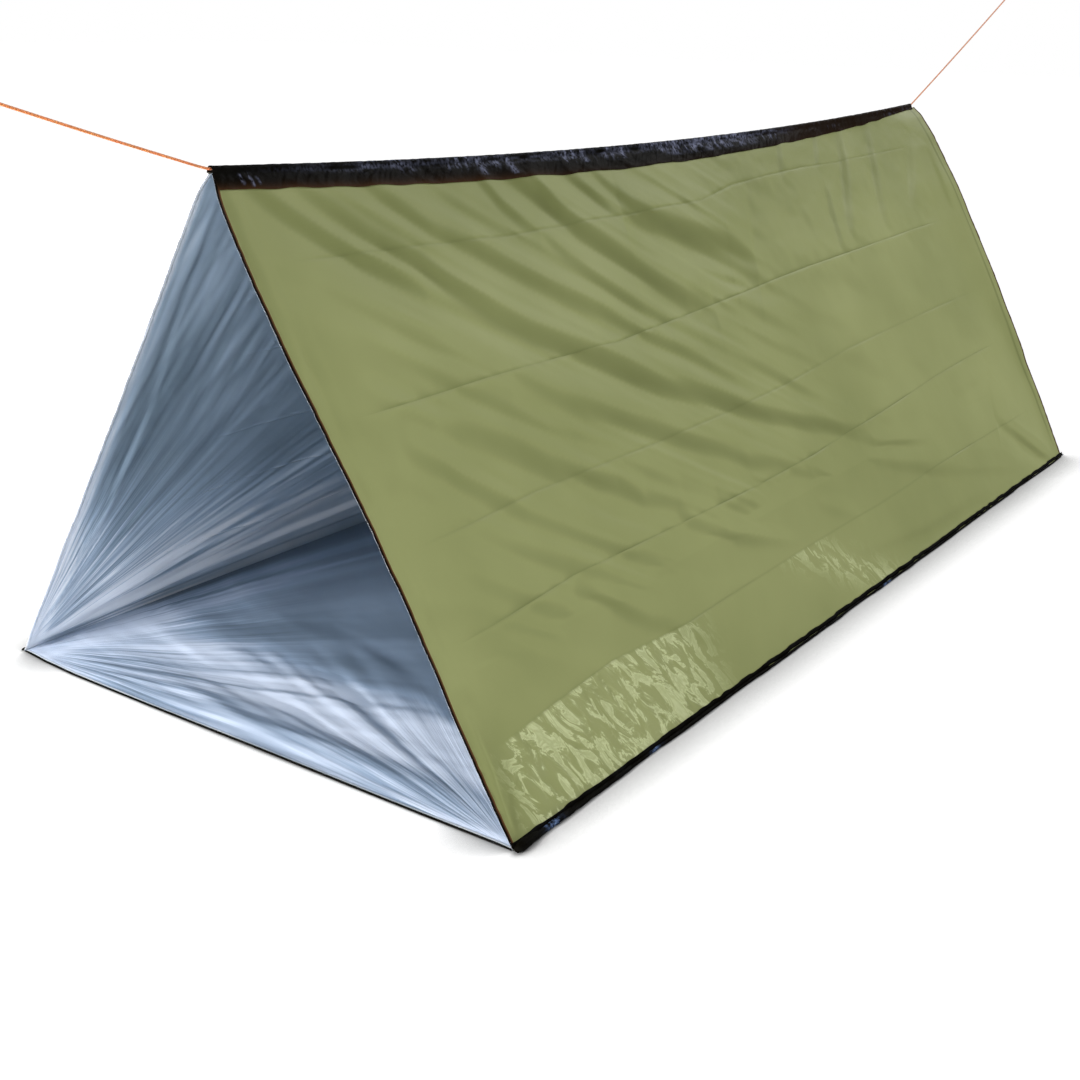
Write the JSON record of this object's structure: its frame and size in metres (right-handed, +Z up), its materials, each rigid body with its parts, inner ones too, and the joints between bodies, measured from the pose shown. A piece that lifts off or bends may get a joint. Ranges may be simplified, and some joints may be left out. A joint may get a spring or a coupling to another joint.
{
  "type": "emergency tent",
  "caption": "Open-ended tube tent of thin film, pitched as a triangle over a cord along its ridge; its walls fold outwards flat.",
  "frame": {"origin": "middle of the floor, on the ground", "axes": "+X across the tent to its right-hand wall, +Y along it from the front opening to the rear one, +Z up"},
  "size_m": [1.05, 3.6374, 1.191],
  "materials": {
    "olive_film": "thin olive green plastic film, satin, creased and softly wrinkled",
    "silver_film": "plastic film with a thin metal coating, bluish silver, finely wrinkled",
    "black_film": "glossy black plastic film, wrinkled",
    "orange_cord": "braided orange polypropylene cord"
  },
  "bodies": {
    "tent_floor": {"floor_sheet": "silver_film", "floor_front_hem": "black_film", "floor_rear_hem": "black_film"},
    "right_foot": {"right_skirt": "olive_film", "right_skirt_front_binding": "black_film", "right_skirt_rear_binding": "black_film", "right_floor_strip": "black_film"},
    "right_side": {"right_wall": "olive_film", "right_wall_front_binding": "black_film", "right_wall_rear_binding": "black_film", "right_ridge_band": "black_film"},
    "ridge_line": {"ridge_sleeve": "black_film", "ridge_cord": "orange_cord"},
    "left_side": {"left_wall": "olive_film", "left_wall_front_binding": "black_film", "left_wall_rear_binding": "black_film", "left_ridge_band": "black_film"},
    "left_foot": {"left_skirt": "olive_film", "left_skirt_front_binding": "black_film", "left_skirt_rear_binding": "black_film", "left_floor_strip": "black_film"},
    "front_line": {"front_guy_line": "orange_cord", "front_line_knot": "orange_cord", "front_line_loop": "orange_cord"},
    "rear_line": {"rear_guy_line": "orange_cord", "rear_line_knot": "orange_cord", "rear_line_loop": "orange_cord"}
  },
  "joints": [
    {"name": "ridge_lowering", "type": "hinge", "parent": "tent_floor", "child": "right_foot", "pos_m": [0.524, 0, 0.00147], "axis": [0, 1, 0], "range_deg": [0, 120.1]},
    {"name": "right_knee_fold", "type": "hinge", "parent": "right_foot", "child": "right_side", "pos_m": [0.39869, 0, 0.20344], "axis": [0, -1, 0], "range_deg": [0, 176.06]},
    {"name": "ridge_fold", "type": "hinge", "parent": "right_side", "child": "left_side", "pos_m": [0, 0, 0.85319], "axis": [0, 1, 0], "range_deg": [0, 111.92]},
    {"name": "ridge_line_turn", "type": "hinge", "parent": "right_side", "child": "ridge_line", "pos_m": [0, 0, 0.85319], "axis": [0, 1, 0], "range_deg": [0, 55.96]},
    {"name": "left_knee_fold", "type": "hinge", "parent": "left_side", "child": "left_foot", "pos_m": [-0.39869, 0, 0.20344], "axis": [0, -1, 0], "range_deg": [0, 176.06]},
    {"name": "front_line_drop", "type": "hinge", "parent": "ridge_line", "child": "front_line", "pos_m": [0, -1.223, 0.85339], "axis": [1, 0, 0], "range_deg": [0, 21.51]},
    {"name": "rear_line_drop", "type": "hinge", "parent": "ridge_line", "child": "rear_line", "pos_m": [0, 1.223, 0.85339], "axis": [-1, 0, 0], "range_deg": [0, 25.71]}
  ],
  "couplings": [
    {"joint": "right_knee_fold", "follows": "ridge_lowering", "ratio": 1.4659},
    {"joint": "ridge_fold", "follows": "ridge_lowering", "ratio": 0.9318},
    {"joint": "ridge_line_turn", "follows": "ridge_lowering", "ratio": 0.4659},
    {"joint": "left_knee_fold", "follows": "ridge_lowering", "ratio": 1.4659},
    {"joint": "front_line_drop", "follows": "ridge_lowering", "ratio": 0.17905},
    {"joint": "rear_line_drop", "follows": "ridge_lowering", "ratio": 0.21406}
  ]
}
